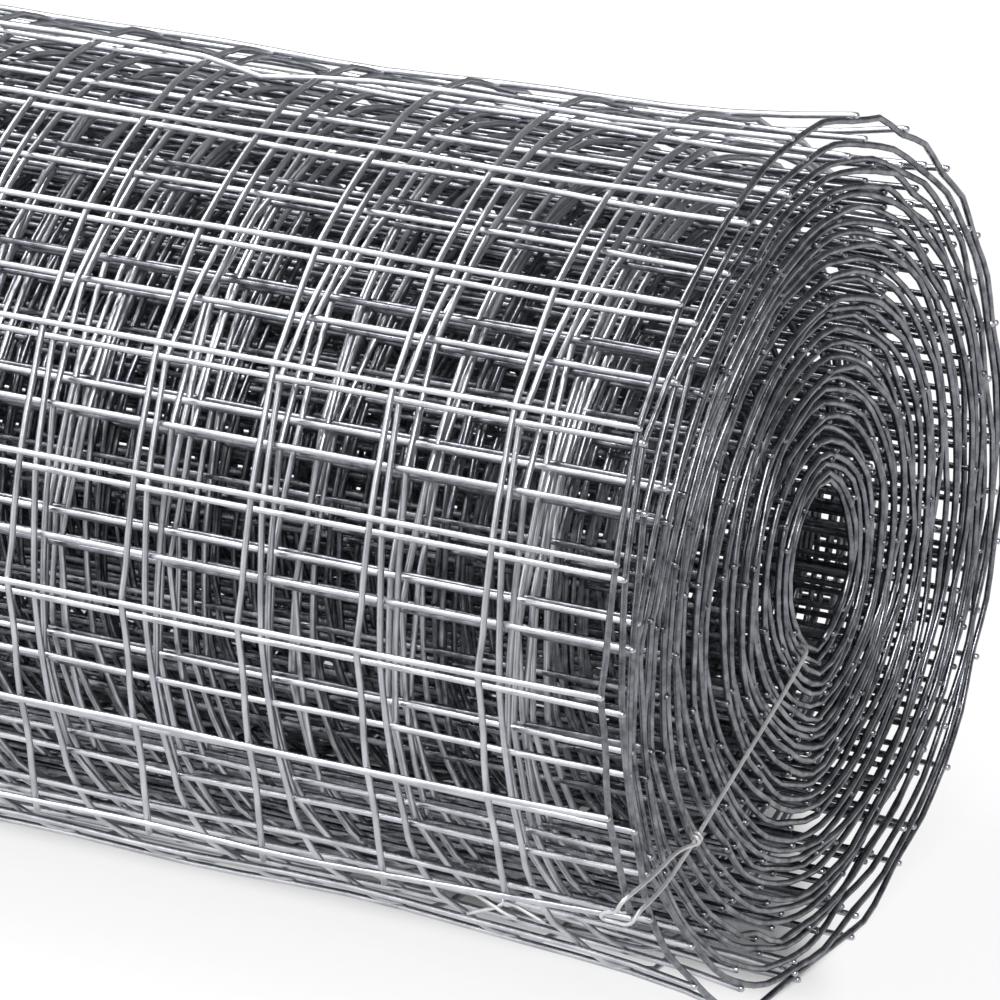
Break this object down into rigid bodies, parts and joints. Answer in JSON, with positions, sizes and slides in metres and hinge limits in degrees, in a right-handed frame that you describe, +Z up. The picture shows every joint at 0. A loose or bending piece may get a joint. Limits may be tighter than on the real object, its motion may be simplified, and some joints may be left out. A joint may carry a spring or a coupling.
{
  "type": "roll of welded wire mesh",
  "caption": "Roll of galvanised square welded wire mesh lying on its side, with an open bore and a thin tie wire that hooks the free edge and crosses one end.",
  "frame": {"origin": "on the floor under the middle of the roll's length and width", "axes": "+X along the roll's axis towards the tied end, +Z up, -Y towards the side where the free edge of the mesh hangs"},
  "size_m": [0.5133, 0.1714, 0.172],
  "materials": {
    "galvanised_mesh": "satin",
    "tie_wire": "satin"
  },
  "bodies": {
    "root": {"mesh_roll": "galvanised_mesh", "tie_wire": "tie_wire"}
  },
  "joints": []
}
